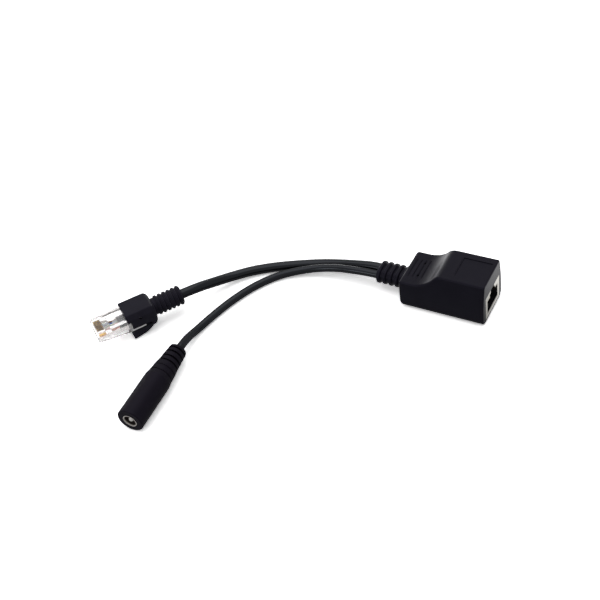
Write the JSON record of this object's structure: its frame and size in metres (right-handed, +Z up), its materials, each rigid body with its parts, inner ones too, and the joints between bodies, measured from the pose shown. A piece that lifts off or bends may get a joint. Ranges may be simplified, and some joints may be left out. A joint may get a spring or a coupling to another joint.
{
  "type": "passive power over ethernet cable",
  "caption": "Short black adapter cable: a moulded network socket housing, a clear network plug in a soft boot, and a round power socket on a thinner lead.",
  "frame": {"origin": "middle of the underside of the socket housing with its strain relief", "axes": "+X along the housing towards the mouth of its network socket, +Y across it, +Z up from the floor; the cords leave towards -X and bend towards -Y"},
  "size_m": [0.1567, 0.124, 0.0208],
  "materials": {
    "housing_black": "fine matt moulded skin",
    "boot_black": "matt soft moulding",
    "barrel_black": "matt soft moulding",
    "jacket_black": "satin cable jacket",
    "insert_black": "smooth moulded",
    "shield_plate": "plain plated sheet",
    "contact_gold": "bright plated",
    "clear_body": "clear moulded plastic",
    "ring_nickel": "bright plated",
    "pin_nickel": "bright plated",
    "spacer_black": "smooth moulded",
    "splice_tin": "tinned",
    "wire_white_orange": "smooth",
    "wire_orange": "smooth",
    "wire_white_green": "smooth",
    "wire_blue": "smooth",
    "wire_white_blue": "smooth",
    "wire_green": "smooth",
    "wire_white_brown": "smooth",
    "wire_brown": "smooth",
    "wire_red": "smooth",
    "wire_black": "smooth"
  },
  "bodies": {
    "root": {"data_wire_1": "wire_white_orange", "data_wire_2": "wire_orange", "data_wire_3": "wire_white_green", "data_wire_4": "wire_green", "dc_centre_pin": "pin_nickel", "dc_conductor_1": "wire_red", "dc_conductor_2": "wire_black", "dc_insulator": "spacer_black", "dc_lead": "jacket_black", "dc_overmould": "barrel_black", "dc_sleeve_contact": "ring_nickel", "ethernet_cord": "jacket_black", "housing_overmould": "housing_black", "jack_contact_1": "contact_gold", "jack_contact_2": "contact_gold", "jack_contact_3": "contact_gold", "jack_contact_4": "contact_gold", "jack_contact_5": "contact_gold", "jack_contact_6": "contact_gold", "jack_contact_7": "contact_gold", "jack_contact_8": "contact_gold", "jack_insert": "insert_black", "jack_shield": "shield_plate", "plug_body": "clear_body", "plug_boot": "boot_black", "plug_contact_1": "contact_gold", "plug_contact_2": "contact_gold", "plug_contact_3": "contact_gold", "plug_contact_4": "contact_gold", "plug_contact_5": "contact_gold", "plug_contact_6": "contact_gold", "plug_contact_7": "contact_gold", "plug_contact_8": "contact_gold", "plug_wire_1": "wire_white_orange", "plug_wire_2": "wire_orange", "plug_wire_3": "wire_white_green", "plug_wire_4": "wire_blue", "plug_wire_5": "wire_white_blue", "plug_wire_6": "wire_green", "plug_wire_7": "wire_white_brown", "plug_wire_8": "wire_brown", "power_core_1": "wire_red", "power_core_2": "wire_black", "power_wire_1": "wire_blue", "power_wire_2": "wire_brown", "splice_sleeve_1": "splice_tin", "splice_sleeve_2": "splice_tin"}
  },
  "joints": []
}
